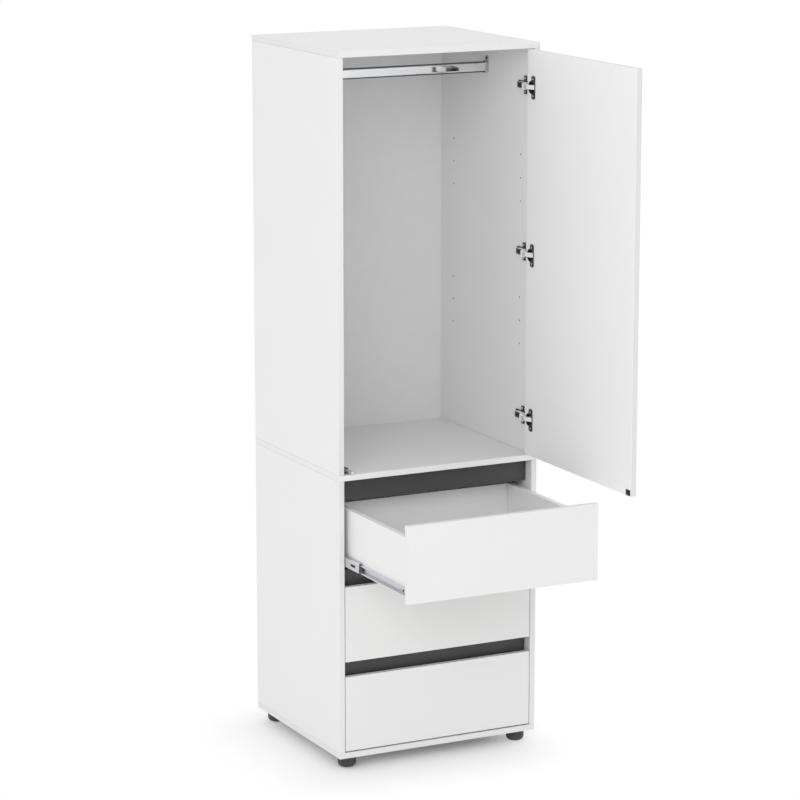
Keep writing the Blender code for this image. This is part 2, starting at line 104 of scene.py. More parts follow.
# %% [markdown]
# ## Colours and shader nodes
#
# Colours are easiest to read as the hex codes of a paint chart, but a shader works in linear light, so
# one function turns a code into linear values. Two more add a node, set what stays constant and link
# the rest. Every finish starts from the same three nodes, and some tell faces apart by where they look.

# %% Helpers for the finishes
def linear(code):
    """Linear colour, with full alpha, of an sRGB hex code."""
    parts = [int(code[at:at + 2], 16) / 255 for at in (1, 3, 5)]
    return [c / 12.92 if c <= 0.04045 else ((c + 0.055) / 1.055) ** 2.4 for c in parts] + [1.0]


def fill(tree, node, inputs):
    """Link each socket among the inputs to a node, and set any other value."""
    for key, value in inputs.items():
        if isinstance(value, bpy.types.NodeSocket):
            tree.links.new(value, node.inputs[key])
        else:
            node.inputs[key].default_value = value


def add_node(tree, kind, inputs, **settings):
    """Add a shader node of a kind with its settings, fill its inputs and return its outputs."""
    node = tree.nodes.new("ShaderNode" + kind)
    for name, value in settings.items():
        setattr(node, name, value)
    fill(tree, node, inputs)
    return node.outputs


def start_finish(name):
    """A new material with its Principled shader, and the coordinates that its patterns read."""
    material = bpy.data.materials.new(name)
    material.use_nodes = True
    tree = material.node_tree
    tree.nodes.clear()
    surface = add_node(tree, "BsdfPrincipled", {})["BSDF"]
    add_node(tree, "OutputMaterial", {"Surface": surface})
    spot = add_node(tree, "TexCoord", {})
    return material, tree, surface.node, spot


def turned_from(tree, normal, axis, limit):
    """A socket that is 1 on faces whose normal has less than a limit along an axis."""
    part = add_node(tree, "Math", {0: normal[axis]}, operation="ABSOLUTE")
    less = add_node(tree, "Math", {0: part[0], 1: limit}, operation="LESS_THAN")
    return less[0]


print("white on the chart", linear("#E9E9E9")[:3])

# %% [markdown]
# ## White melamine board
#
# The boards are chipboard with a sheet of resin-soaked paper pressed on both faces. The press plate
# leaves a fine pearl texture, so the white is satin and never quite even. The narrow sides carry a
# plastic edge band, a shade greyer than the faces. One could paint the bands as extra strips, but the
# shader can tell a narrow side by itself: there the normal has no part along the board's thin axis.

# %% White melamine
PEARL = 3.0 * MM          # the real texture is about 0.5 mm, drawn coarser so that it shows
PEARL_RELIEF = 0.05 * MM
CLOUD = 180 * MM          # slow changes of tone across a board
SATIN_SPREAD = 0.06       # of the roughness, to both sides
BAND_LIMIT = 0.6          # a normal with less than this along the thin axis means a narrow side


def melamine(name, thin_axis, face, shade, band, rough, ends=None):
    """Melamine facing and its edge bands, for boards that are thin along one axis.

    A tone for the ends goes on the bands that look along X.
    """
    material, tree, shader, spot = start_finish(name)
    pearl = add_node(tree, "TexNoise", {"Vector": spot["Object"], "Scale": 1 / PEARL, "Detail": 2.0})
    cloud = add_node(tree, "TexNoise", {"Vector": spot["Object"], "Scale": 1 / CLOUD, "Detail": 3.0})
    tone = add_node(tree, "Mix", {0: cloud["Fac"], 6: linear(face), 7: linear(shade)}, data_type="RGBA")
    normal = add_node(tree, "SeparateXYZ", {0: spot["Normal"]})
    narrow = turned_from(tree, normal, thin_axis, BAND_LIMIT)
    colour = add_node(tree, "Mix", {0: narrow, 6: tone[2], 7: linear(band)}, data_type="RGBA")
    if ends:
        no_end = turned_from(tree, normal, "X", BAND_LIMIT)
        colour = add_node(tree, "Mix", {0: no_end, 6: linear(ends), 7: colour[2]}, data_type="RGBA")
    satin = add_node(tree, "MapRange", {"Value": pearl["Fac"], "To Min": rough - SATIN_SPREAD,
                                        "To Max": rough + SATIN_SPREAD})
    relief = add_node(tree, "Bump", {"Height": pearl["Fac"], "Strength": 0.12, "Distance": PEARL_RELIEF})
    fill(tree, shader, {"Base Color": colour[2], "Roughness": satin[0], "Normal": relief[0], "IOR": 1.5})
    return material


print("pearl drawn at", PEARL / MM, "mm, tones drift over", CLOUD / MM, "mm")

# %% [markdown]
# Each direction of board gets its own copy of the finish. The door's sheet is a little lighter with
# painted light, and its band greyer; the middle panel's band carries painted light in front, and the ends
# of the level panels show as faint grey bands on the sides. Another set of tones in the same function
# makes the dark strips behind the finger gaps.

# %% White and anthracite boards
# A satin white, a shade greyer on the narrow sides, that never looks quite even.
WHITE = {"face": "#E9E9E9", "shade": "#E6E6E6", "band": "#E5E5E5", "rough": 0.42}
white_upright = melamine("white_melamine_upright", "X", **WHITE)
white_facing = melamine("white_melamine_facing", "Y", **WHITE)
white_level = melamine("white_melamine_level", "Z", ends="#E1E1E1", **WHITE)
# The same white, with painted light on its front edge.
MIDDLE_WHITE_PAINTED_LIGHT = {**WHITE, "band": "#F4F4F4"}
white_middle_painted_light = melamine("white_melamine_middle_panel_painted_light", "Z", ends="#E5E5E5", **MIDDLE_WHITE_PAINTED_LIGHT)
# A sheet lightened with painted light, inside a greyer outline.
DOOR_WHITE_PAINTED_LIGHT = {**WHITE, "face": "#F0F0F0", "shade": "#EDEDED", "band": "#DCDCDC"}
white_door_painted_light = melamine("white_melamine_door_painted_light", "X", **DOOR_WHITE_PAINTED_LIGHT)
# A dark grey that looks almost black, because little light reaches it.
ANTHRACITE = {"face": "#474749", "shade": "#434345", "band": "#3E3E40", "rough": 0.5}
anthracite = melamine("anthracite_melamine", "Y", **ANTHRACITE)
print("white melamine for three directions, the door and the middle panel, and anthracite")

# %% [markdown]
# ## Hardboard
#
# The back and the drawer bottoms are thin hardboard: pressed wood fibre, painted white on the face and
# the edges, and bare on the other side, where the fibres mottle it. Two sheets, one of each finish,
# would need cut meshes, so here too the way a face looks chooses between paint and fibre.

# %% Hardboard
FIBRE = 2.5 * MM          # single fibres are finer, drawn coarser so that they show
FIBRE_RELIEF = 0.1 * MM
FIBRE_PATCH = 45 * MM
PATCH_SHARE = 0.45        # of the patches in the mottle, beside the fibres
PAINT, PAINT_SHADE = "#EBEBEB", "#E6E6E6"
FIBRE_ROUGH, PAINT_ROUGH = 0.78, 0.48
BARE_FROM = 0.5           # part of the normal towards the bare side


def hardboard(name, axis, bare_side, dark, light):
    """Hardboard painted all round but for the side that looks along an axis, where its fibres show."""
    material, tree, shader, spot = start_finish(name)
    fibre = add_node(tree, "TexNoise",
                     {"Vector": spot["Object"], "Scale": 1 / FIBRE, "Detail": 4.0, "Roughness": 0.7})
    patch = add_node(tree, "TexNoise", {"Vector": spot["Object"], "Scale": 1 / FIBRE_PATCH, "Detail": 3.0})
    uneven = add_node(tree, "Mix", {0: PATCH_SHARE, 2: fibre["Fac"], 3: patch["Fac"]})
    mottle = add_node(tree, "Mix", {0: uneven[0], 6: linear(dark), 7: linear(light)}, data_type="RGBA")
    paint = add_node(tree, "Mix",
                     {0: patch["Fac"], 6: linear(PAINT), 7: linear(PAINT_SHADE)}, data_type="RGBA")
    normal = add_node(tree, "SeparateXYZ", {0: spot["Normal"]})
    toward = add_node(tree, "Math", {0: normal[axis], 1: bare_side}, operation="MULTIPLY")
    painted = add_node(tree, "Math", {0: toward[0], 1: BARE_FROM}, operation="LESS_THAN")
    colour = add_node(tree, "Mix", {0: painted[0], 6: mottle[2], 7: paint[2]}, data_type="RGBA")
    rough = add_node(tree, "MapRange", {"Value": painted[0], "To Min": FIBRE_ROUGH, "To Max": PAINT_ROUGH})
    relief = add_node(tree, "Bump", {"Height": fibre["Fac"], "Strength": 0.15, "Distance": FIBRE_RELIEF})
    fill(tree, shader, {"Base Color": colour[2], "Roughness": rough[0], "Normal": relief[0]})
    return material


# Bare behind: a matt, mottled brown.
hardboard_back = hardboard("hardboard_back", "Y", 1, "#7A5D41", "#BA9C7B")
# Primed below: a pale, slightly warm grey with the mottle shining through.
hardboard_bottom = hardboard("hardboard_bottom", "Z", -1, "#D3CFC8", "#E0DDD7")
print("hardboard with fibres of", FIBRE / MM, "mm")

# %% [markdown]
# ## Finish the boards
#
# The boards of the frame already have their shape, their fine chamfers and their bored holes, so they
# stay and only change their finish. The door stands open at a right angle, so here it is an upright
# board like the sides.

# %% Give the boards their finishes
DRAWERS = ("lower", "middle", "upper")
INWARD = {"left": 1, "right": -1}      # the way along X that the inner face of a side looks


def finish_node(name, material):
    """Put a finish on a node of the frame."""
    for place in nodes[name].material_slots:
        place.material = material


finish_node("bottom_panel", white_level)
finish_node("middle_panel", white_middle_painted_light)
finish_node("top_panel", white_level)
finish_node("door_panel", white_door_painted_light)
finish_node("back_panel", hardboard_back)
for side in INWARD:
    finish_node(f"lower_side_{side}", white_upright)
    finish_node(f"upper_side_{side}", white_upright)
for drawer in DRAWERS:
    for board in ("front", "back"):
        finish_node(f"{drawer}_drawer_{board}", white_facing)
    for side in INWARD:
        finish_node(f"{drawer}_drawer_side_{side}", white_upright)
    finish_node(f"{drawer}_drawer_bottom", hardboard_bottom)
    finish_node(f"{drawer}_grip_strip", anthracite)
print("melamine boards:", sum("melamine" in nodes[n].material_slots[0].material.name for n in nodes))

# %% [markdown]
# ## Plated steel
#
# The slides are rolled from zinc-plated strip, the hinges are pressed steel with a nickel plate, and the
# rail is chromed tube. A metal's colour is its reflection, so the differences lie in the base colour and
# above all in the roughness, which a stretched or an even noise breaks up. Barrel plating leaves strip
# and arms so satin that they also scatter light, and a lower metallic value stands for that. On the bends
# and flanges of a strip, light and shade are painted: what looks up is painted bright and what looks down
# painted dark. The chromed tube gets a painted reflection of shade along its round edges.

# %% Plated steel
WEB_LIMIT = 0.92               # a normal with less than this along the web's axis means a bend
BRIGHTEST, DULLEST = 0.8, 1.25      # shares of the roughness, at both ends of the noise


def metal(name, dark, light, rough, grain, stretch=(1, 1, 1), metallic=1.0, bends=None, web="X"):
    """Plated steel: two close tones and a roughness that follow one noise, stretched along the rolling.

    Two tones for bends, below and above, go on what turns away from the axis that the flat web faces;
    they are painted shade and painted light, or on a mirror a painted reflection.
    """
    material, tree, shader, spot = start_finish(name)
    scale = [1 / (grain * part) for part in stretch]
    rolled = add_node(tree, "Mapping", {"Vector": spot["Object"], "Scale": scale})
    streak = add_node(tree, "TexNoise", {"Vector": rolled[0], "Scale": 1.0, "Detail": 3.0})
    tone = add_node(tree, "Mix", {0: streak["Fac"], 6: linear(dark), 7: linear(light)}, data_type="RGBA")
    sheen = add_node(tree, "MapRange",
                     {"Value": streak["Fac"], "To Min": rough * BRIGHTEST, "To Max": rough * DULLEST})
    if bends:
        # Painted light and shade on the bends: one tone where they look down, one where they look up.
        below, above = (linear(code) for code in bends)
        normal = add_node(tree, "SeparateXYZ", {0: spot["Normal"]})
        turned = turned_from(tree, normal, web, WEB_LIMIT)
        upward = add_node(tree, "Math", {0: normal["Z"], 1: 0.0}, operation="GREATER_THAN")
        painted_bend_tone = add_node(tree, "Mix", {0: upward[0], 6: below, 7: above}, data_type="RGBA")
        tone = add_node(tree, "Mix", {0: turned, 6: tone[2], 7: painted_bend_tone[2]}, data_type="RGBA")
    fill(tree, shader, {"Base Color": tone[2], "Roughness": sheen[0], "Metallic": metallic})
    return material


# Pale and slightly blue, with faint streaks along the way the strip ran, and painted light and shade
# on its bends: painted light where they look up, painted shade where they look down.
zinc_strip = metal("zinc_plated_strip", "#C3C4CC", "#D0D1D8", 0.34, 1.2 * MM, (1, 60, 1), metallic=0.7,
                   bends=("#8F90A0", "#DEDFE5"))
# Small cool glints on balls, pins and screws.
zinc_part = metal("zinc_plated_part", "#C0C2C7", "#CFD1D5", 0.26, 4 * MM)
# Almost white: a painted highlight on the nickel plate, which scatters as much as it mirrors.
nickel_painted_highlight = metal("nickel_plate_painted_highlight", "#F6F5F3", "#FCFBFA", 0.36, 5 * MM, metallic=0.25)
# Near black, with soft lights on its rounded edges: painted shade on the nickel plate of the hinges,
# and the dark nickel of the strike plate.
dark_nickel_and_painted_shade = metal("dark_nickel_plate_and_painted_shade", "#35343A", "#414046", 0.32, 5 * MM, metallic=0.6)
# Matt dark screw heads.
phosphated = metal("phosphated_screw_steel", "#38373A", "#454447", 0.42, 2 * MM)
# A clear mirror between two dark lines: on its narrow round edges, a painted reflection of a shade
# that a white studio lacks.
chrome = metal("chromed_tube", "#E3E5E8", "#ECEEF0", 0.07, 12 * MM, (30, 1, 1),
               bends=("#222326", "#77787D"), web="Y")
# A duller mirror, because the casting under the chrome is not quite smooth.
chromed_zamak = metal("chromed_die_casting", "#C2C0C8", "#D0CED5", 0.22, 6 * MM)
print("seven metal finishes made")

# %% [markdown]
# ## Moulded plastic
#
# Feet, latch and slide ends are moulded. The mould is spark-eroded, which leaves a fine grain that takes
# the gloss away. A bump and a roughness from one noise give both at once.

# %% Moulded plastic
SPARK_GRAIN = 1.5 * MM         # the real grain is about 0.1 mm, drawn coarser so that it shows
SPARK_RELIEF = 0.1 * MM
SPARK_SPREAD = 0.07            # of the roughness, to both sides


def moulded(name, dark, light, rough):
    """Moulded plastic: an even colour with the fine grain of its spark-eroded mould."""
    material, tree, shader, spot = start_finish(name)
    pits = add_node(tree, "TexNoise", {"Vector": spot["Object"], "Scale": 1 / SPARK_GRAIN, "Detail": 2.0})
    tone = add_node(tree, "Mix", {0: pits["Fac"], 6: linear(dark), 7: linear(light)}, data_type="RGBA")
    satin = add_node(tree, "MapRange",
                     {"Value": pits["Fac"], "To Min": rough - SPARK_SPREAD,
                      "To Max": rough + SPARK_SPREAD})
    relief = add_node(tree, "Bump", {"Height": pits["Fac"], "Strength": 0.25, "Distance": SPARK_RELIEF})
    fill(tree, shader, {"Base Color": tone[2], "Roughness": satin[0], "Normal": relief[0], "IOR": 1.46})
    return material


# Satin black on the latch and the slide stops.
black_moulding = moulded("black_polypropylene", "#2A2A2B", "#343436", 0.48)
# Charcoal feet, a little paler and softer than the black.
foot_moulding = moulded("charcoal_polyethylene", "#39393B", "#434345", 0.50)
# A smooth middle grey on the plunger.
grey_moulding = moulded("grey_acetal", "#9C9C9E", "#A8A8AA", 0.42)
# A dull off-white dot at the plunger's tip.
pale_rubber = moulded("pale_bumper_rubber", "#DADAD8", "#E4E4E2", 0.55)
print("four plastics made, grain of", SPARK_GRAIN / MM, "mm")

# %% [markdown]
# ## From a mesh to a piece
#
# Each new piece is drawn as one or more small shapes near the origin, and each shape is then moved to
# its place in the piece's own mesh. A mirrored place turns faces inside out, so there they are turned
# back. The piece itself stays at the origin, rides on a body of the frame, and may stand for a node.

# %% Helpers for pieces
SMOOTH = math.radians(35)


def centre_of(node):
    """Centre of the box of a node."""
    low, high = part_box(node)
    return (low + high) / 2


def add_shape(piece, shape, place=Matrix(), finish=0):
    """Move a shape to its place and add it to a piece, with the number of its finish."""
    bmesh.ops.transform(shape, matrix=place, verts=shape.verts)
    if place.determinant() < 0:
        bmesh.ops.reverse_faces(shape, faces=shape.faces)
    for face in shape.faces:
        face.material_index = finish
    passing = bpy.data.meshes.new("passing")
    shape.to_mesh(passing)
    shape.free()
    piece.from_mesh(passing)
    bpy.data.meshes.remove(passing)


def show(name, bm, finishes, body, stands_for=()):
    """Make a bmesh a piece that rides on a body and takes the place of the nodes it stands for."""
    mesh = bpy.data.meshes.new(name)
    bm.to_mesh(mesh)
    bm.free()
    for material in finishes:
        mesh.materials.append(material)
    mesh.shade_smooth()
    mesh.set_sharp_from_angle(angle=SMOOTH)
    piece = bpy.data.objects.new(name, mesh)
    scene.collection.objects.link(piece)
    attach(piece, body)
    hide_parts(*stands_for)
    print(name, "has", len(mesh.polygons), "faces and rides on", body)


print("edges over", round(math.degrees(SMOOTH)), "degrees stay sharp in the shading")

# %% [markdown]
# Two kinds of shape come up again and again. A pressed or moulded block is a cube with rounded edges,
# and a turned piece is a line of points spun round an axis, as on a lathe.

# %% Blocks and turned shapes
SHARP = math.radians(40)
MERGE = 0.001 * MM


def soften(bm, width, least=SHARP):
    """Round every edge that is sharper than the least angle."""
    sharp = [edge for edge in bm.edges if edge.is_manifold and edge.calc_face_angle() > least]
    bmesh.ops.bevel(bm, geom=sharp, offset=width, offset_type="OFFSET", segments=2, profile=0.5,
                    affect="EDGES", material=-1, clamp_overlap=True)
    return bm


def plain_block(low, high):
    """A block between two corners."""
    bm = bmesh.new()
    bmesh.ops.create_cube(bm, size=1.0)
    bmesh.ops.scale(bm, vec=Vector(high) - Vector(low), verts=bm.verts)
    bmesh.ops.translate(bm, vec=(Vector(high) + Vector(low)) / 2, verts=bm.verts)
    return bm


def block(low, high, round_over):
    """A block between two corners, with its edges rounded over."""
    return soften(plain_block(low, high), round_over)


def turn(profile, steps, closed=False):
    """Spin a line of (radius, height) points round the Z axis into a turned shape."""
    bm = bmesh.new()
    line = [bm.verts.new((radius, 0.0, height)) for radius, height in profile]
    joined = line + line[:1] if closed else line
    edges = [bm.edges.new(pair) for pair in zip(joined, joined[1:])]
    bmesh.ops.spin(bm, geom=line + edges, axis=(0, 0, 1), cent=(0, 0, 0), angle=math.tau, steps=steps,
                   use_merge=True)
    bmesh.ops.remove_doubles(bm, verts=bm.verts, dist=MERGE)
    bmesh.ops.recalc_face_normals(bm, faces=bm.faces)
    return bm


print("edges over", round(math.degrees(SHARP)), "degrees are rounded")

# %% [markdown]
# ## Feet
#
# Each foot is a turned puck of charcoal plastic: a rounded lower rim that slides over the floor, a
# shallow parting groove, and a bevel under the board. A cylinder with a bevel would come close, but a
# spun line carries the groove as well, and only the lower rim then needs a bevel of its own.

# %% Turn the feet
FOOT_STEPS = 48
FOOT_RIM, FOOT_RIM_SEGMENTS = 12 * MM, 7
FOOT_GROOVE = 0.8 * MM
FOOT_PARTING = 0.55            # share of the height at which the mould parts

for row in ("front", "back"):
    for side in INWARD:
        low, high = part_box(f"foot_{row}_{side}")
        radius = (high.x - low.x) / 2
        height = high.z - low.z
        parting = FOOT_PARTING * height
        line = [(0, 0), (radius, 0), (radius, parting - FOOT_GROOVE), (radius - FOOT_GROOVE, parting),
                (radius, parting + FOOT_GROOVE), (radius, height - FOOT_GROOVE),
                (radius - FOOT_GROOVE, height), (0, height)]
        foot = turn(line, FOOT_STEPS)
        rim = [edge for edge in foot.edges
               if all(v.co.z < FOOT_GROOVE and v.co.xy.length > radius / 2 for v in edge.verts)]
        bmesh.ops.bevel(foot, geom=rim, offset=FOOT_RIM, offset_type="OFFSET",
                        segments=FOOT_RIM_SEGMENTS, profile=0.5, affect="EDGES", material=-1)
        piece = bmesh.new()
        middle = (low + high) / 2
        add_shape(piece, foot, Matrix.Translation((middle.x, middle.y, low.z)))
        show(f"turned_foot_{row}_{side}", piece, [foot_moulding], "carcass",
             [f"foot_{row}_{side}"])

# %% [markdown]
# ## Screws
#
# Every metal fitting is held by cross-head screws. The head is spun, but left open on top, and the ring
# between its rim and the cross is filled with triangles. Pulling the edges of the cross down and filling
# their lower ends makes a real recess, which stays dark in any light.

# %% A cross-head screw
SCREW_STEPS = 20
HEAD_LINE = [(0, 0), (1, 0), (1, 0.4), (0.86, 0.85), (0.66, 1)]      # shares of radius and height
CROSS_ARM, CROSS_HALF, CROSS_DEPTH = 0.46, 0.13, 0.7      # shares of the radius, and of the height


def screw(radius, height):
    """A pan-head screw with a cross recess, its seat on z = 0 and its head along +Z."""
    bm = turn([(out * radius, up * height) for out, up in HEAD_LINE], SCREW_STEPS)
    rim = [edge for edge in bm.edges if edge.is_boundary]
    arm, half = CROSS_ARM * radius, CROSS_HALF * radius
    quarter = [Vector((arm, half, height)), Vector((half, half, height)), Vector((half, arm, height))]
    turns = [Matrix.Rotation(step * math.pi / 2, 3, "Z") for step in range(4)]
    cross = [bm.verts.new(swing @ point) for swing in turns for point in quarter]
    sides = [bm.edges.new(pair) for pair in zip(cross, cross[1:] + cross[:1])]
    bmesh.ops.triangle_fill(bm, edges=rim + sides, use_beauty=True)
    grown = bmesh.ops.extrude_edge_only(bm, edges=sides)["geom"]
    floor = [item for item in grown if isinstance(item, bmesh.types.BMVert)]
    bmesh.ops.translate(bm, vec=(0, 0, -CROSS_DEPTH * height), verts=floor)
    bmesh.ops.triangle_fill(bm, edges=[edge for edge in bm.edges if edge.is_boundary], use_beauty=True)
    bmesh.ops.recalc_face_normals(bm, faces=bm.faces)
    return bm


def drive(piece, size, place, spot, facing, finish=0):
    """Add a screw of one (radius, height) to a piece, at a spot of a place, with its head turned."""
    add_shape(piece, screw(*size), place @ Matrix.Translation(spot) @ facing, finish)


sample = screw(4 * MM, 2 * MM)
print("a screw head has", len(sample.faces), "faces, closed:",
      all(edge.is_manifold for edge in sample.edges))
sample.free()

# %% [markdown]
# ## Drawer slides
#
# Each drawer runs on two telescopic slides of three members. All three are folded from strip: the outer
# one lies on the wall, the inner one on the drawer side, and the middle one runs between them on balls
# in thin cages. Cutting them from blocks would need many booleans. Folding is closer to the factory:
# a line of edges is pulled out along the slide, its creases are rounded, slots are opened in its web
# and the strip then gets its thickness.

# %% Fold a strip into a channel
SHEET = 1.2 * MM
SLOT_SIDES = 12


def open_slots(bm, web, slots):
    """Replace a flat web by triangles that leave round-ended (along, radius, stretch) slots open."""
    reach = web.calc_center_median().x
    border = list(web.edges)
    bmesh.ops.delete(bm, geom=[web], context="FACES_ONLY")
    lay = Matrix.Rotation(math.pi / 2, 4, "Y") @ Matrix.Rotation(math.pi / SLOT_SIDES, 4, "Z")
    for along, radius, stretch in slots:
        place = Matrix.Translation((reach, along, 0)) @ lay
        ring = bmesh.ops.create_circle(bm, segments=SLOT_SIDES, radius=radius, matrix=place)["verts"]
        bmesh.ops.translate(bm, vec=(0, stretch, 0), verts=[vert for vert in ring if vert.co.y > along])
        border += {edge for vert in ring for edge in vert.link_edges}
    bmesh.ops.triangle_fill(bm, edges=border, use_beauty=True)


def channel(path, length, bend, slots):
    """A folded strip: its outer side follows (from wall, height) points, and it runs along +Y."""
    bm = bmesh.new()
    line = [bm.verts.new((reach, 0.0, height)) for reach, height in path]
    edges = [bm.edges.new(pair) for pair in zip(line, line[1:])]
    grown = bmesh.ops.extrude_edge_only(bm, edges=edges)["geom"]
    far = [item for item in grown if isinstance(item, bmesh.types.BMVert)]
    bmesh.ops.translate(bm, vec=(0, length, 0), verts=far)
    creases = [edge for edge in bm.edges if len(edge.link_faces) == 2]
    bmesh.ops.bevel(bm, geom=creases, offset=bend, offset_type="OFFSET", segments=3, profile=0.5,
                    affect="EDGES", material=-1)
    web = min(bm.faces, key=lambda face: abs(face.calc_center_median().z))
    open_slots(bm, web, slots)
    bmesh.ops.recalc_face_normals(bm, faces=bm.faces)
    bmesh.ops.solidify(bm, geom=bm.faces[:], thickness=SHEET)
    return bm


print("strip of", SHEET / MM, "mm")

# %% [markdown]
# A member takes its length and its place from the solid that it stands for. All are drawn with +X away
# from the wall, so that one drawing serves both sides, and the right-hand place mirrors it.

# %% Place a member on its wall
SLIDES = [(drawer, side) for drawer in DRAWERS for side in INWARD]
FACE_WALL = Matrix.Rotation(-math.pi / 2, 4, "Y")      # turns +Z of a screw to -X, at the wall
FACE_ROOM = FACE_WALL.inverted()                       # turns it to +X, away from the wall


def on_wall(side, along, height):
    """Place for a shape drawn with +X away from the inner wall of one side."""
    low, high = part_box(f"lower_side_{side}")
    wall = high.x if side == "left" else low.x
    return Matrix.Translation((wall, along, height)) @ Matrix.Diagonal((INWARD[side], 1, 1, 1))


def member(drawer, side, kind, path, bend, slots):
    """A folded member of a slide in its place, with that place and its length."""
    low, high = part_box(f"{drawer}_slide_{kind}_{side}")
    place = on_wall(side, low.y, centre_of(f"{drawer}_slide_outer_{side}").z)
    bm = bmesh.new()
    add_shape(bm, channel(path, high.y - low.y, bend, slots), place)
    return bm, place, high.y - low.y


def u_path(near, tip, half):
    """Outer side of a plain channel, as (from wall, height) points."""
    return [(tip, half), (near, half), (near, -half), (tip, -half)]


print(len(SLIDES), "slides of three members")

# %% [markdown]
# The outer member is the highest of the three. Its slots let a fitter move it a little before the
# screws are tightened.

# %% Outer members
BEND = 1.6 * MM
OUTER_NEAR, OUTER_TIP, OUTER_HALF = mm(0.3, 9.0, 17.5)
OUTER_SLOTS = [mm(along, 3.2, 8) for along in (33, 225, 385)]

for drawer, side in SLIDES:
    path = u_path(OUTER_NEAR, OUTER_TIP, OUTER_HALF)
    outer, _, _ = member(drawer, side, "outer", path, BEND, OUTER_SLOTS)
    show(f"{drawer}_outer_member_{side}", outer, [zinc_strip], "carcass",
         [f"{drawer}_slide_outer_{side}"])

# %% [markdown]
# The balls sit in cages between the flanges of the members, in rows near both ends. They are seen only
# when a drawer is pulled, as small glints, so each ball has few faces.

# %% Ball cages
BALL_RADIUS = 1.2 * MM
BALL_PITCH = 6 * MM
BALLS = 9
CAGE_LENGTH = BALL_PITCH * BALLS
CAGE_NEAR, CAGE_FAR, CAGE_SHEET, CAGE_ROUND = mm(4.2, 8.4, 0.5, 0.15)


def ball_cage():
    """A thin strip that carries a row of balls along +Y."""
    cage = block((CAGE_NEAR, 0, -CAGE_SHEET / 2), (CAGE_FAR, CAGE_LENGTH, CAGE_SHEET / 2), CAGE_ROUND)
    for index in range(BALLS):
        ball = bmesh.new()
        bmesh.ops.create_icosphere(ball, subdivisions=2, radius=BALL_RADIUS)
        middle = ((CAGE_NEAR + CAGE_FAR) / 2, BALL_PITCH * (index + 0.5), 0)
        add_shape(cage, ball, Matrix.Translation(middle))
    return cage


print(BALLS, "balls in each cage of", round(CAGE_LENGTH / MM), "mm")

# %% [markdown]
# The middle member has an oblong access slot near its front end. A black stop looks out of its mouth,
# between the other members, with a tip over each flange.

# %% Middle members and their stops
MIDDLE_NEAR, MIDDLE_TIP, MIDDLE_HALF = mm(1.8, 9.0, 13.5)
MIDDLE_SLOTS = [mm(25, 3.5, 22), mm(180, 4.0, 10), mm(320, 3.5, 23)]
CAGE_ROWS = mm(14.9, -14.9, 10.9, -10.9)      # from the middle of the slide
CAGE_FROM_FRONT, CAGE_FROM_BACK = CAGE_LENGTH, 1.5 * CAGE_LENGTH
STOP_LOOKS_OUT, STOP_INSIDE, STOP_HALF, STOP_ROUND = mm(18, 10, 6.8, 1.2)
STOP_NEAR, STOP_FAR = mm(3.2, 7.4)
STOP_NOSE = 0.7                # height of the nose as a share of the stop's
TIP_LOOKS_OUT, TIP_GAP, TIP_ROUND = mm(4, 0.2, 0.6)
TIP_LOW, TIP_HIGH = mm(9.9, 13.3)


def end_stop():
    """Black stop in the mouth of the middle member, with a tip over each flange."""
    stop = block((STOP_NEAR, -STOP_LOOKS_OUT, -STOP_HALF), (STOP_FAR, STOP_INSIDE, STOP_HALF), STOP_ROUND)
    nose = [vert for vert in stop.verts if vert.co.y < -STOP_LOOKS_OUT / 2]
    bmesh.ops.scale(stop, vec=(1, 1, STOP_NOSE), verts=nose)
    for way in (1, -1):
        tip = block((STOP_NEAR, -TIP_LOOKS_OUT, TIP_LOW), (OUTER_TIP, -TIP_GAP, TIP_HIGH), TIP_ROUND)
        add_shape(stop, tip, Matrix.Diagonal((1, 1, way, 1)))
    return stop


for drawer, side in SLIDES:
    path = u_path(MIDDLE_NEAR, MIDDLE_TIP, MIDDLE_HALF)
    middle, place, length = member(drawer, side, "middle", path, BEND, MIDDLE_SLOTS)
    for start in (CAGE_FROM_FRONT, length - CAGE_FROM_BACK):
        for row in CAGE_ROWS:
            add_shape(middle, ball_cage(), place @ Matrix.Translation((0, start, row)), 1)
    show(f"{drawer}_middle_member_{side}", middle, [zinc_strip, zinc_part], f"{drawer}_slide_middles",
         [f"{drawer}_slide_middle_{side}"])
    stop = bmesh.new()
    add_shape(stop, end_stop(), place)
    show(f"{drawer}_slide_stop_{side}", stop, [black_moulding], f"{drawer}_slide_middles")

# %% [markdown]
# The inner member lies on the drawer side. A raised bead along its web stiffens it, and dark screws
# through the bead hold it.

# %% Inner members
INNER_NEAR, INNER_TIP, INNER_HALF = mm(12.4, 3.3, 9.5)
INNER_SLOTS = [mm(34, 1.6, 2), mm(222, 1.4, 1), mm(330, 1.6, 5)]
BEAD_DEPTH, BEAD_HALF, BEAD_BEND = mm(1.5, 3.6, 0.7)
INNER_SCREWS = mm(18.5, 262, 420)
INNER_SCREW = mm(3.2, 1.5)


def beaded_path(near, tip, half):
    """Outer side of a channel whose web is pressed in along its middle."""
    bead = [(near, BEAD_HALF + BEAD_DEPTH), (near - BEAD_DEPTH, BEAD_HALF)]
    upper = [(tip, half), (near, half)] + bead
    return upper + [(reach, -height) for reach, height in reversed(upper)]


for drawer, side in SLIDES:
    path = beaded_path(INNER_NEAR, INNER_TIP, INNER_HALF)
    inner, place, _ = member(drawer, side, "inner", path, BEAD_BEND, INNER_SLOTS)
    for along in INNER_SCREWS:
        drive(inner, INNER_SCREW, place, (INNER_NEAR - BEAD_DEPTH - SHEET, along, 0), FACE_WALL, 1)
    show(f"{drawer}_inner_member_{side}", inner, [zinc_strip, phosphated], f"{drawer}_drawer",
         [f"{drawer}_slide_inner_{side}"])

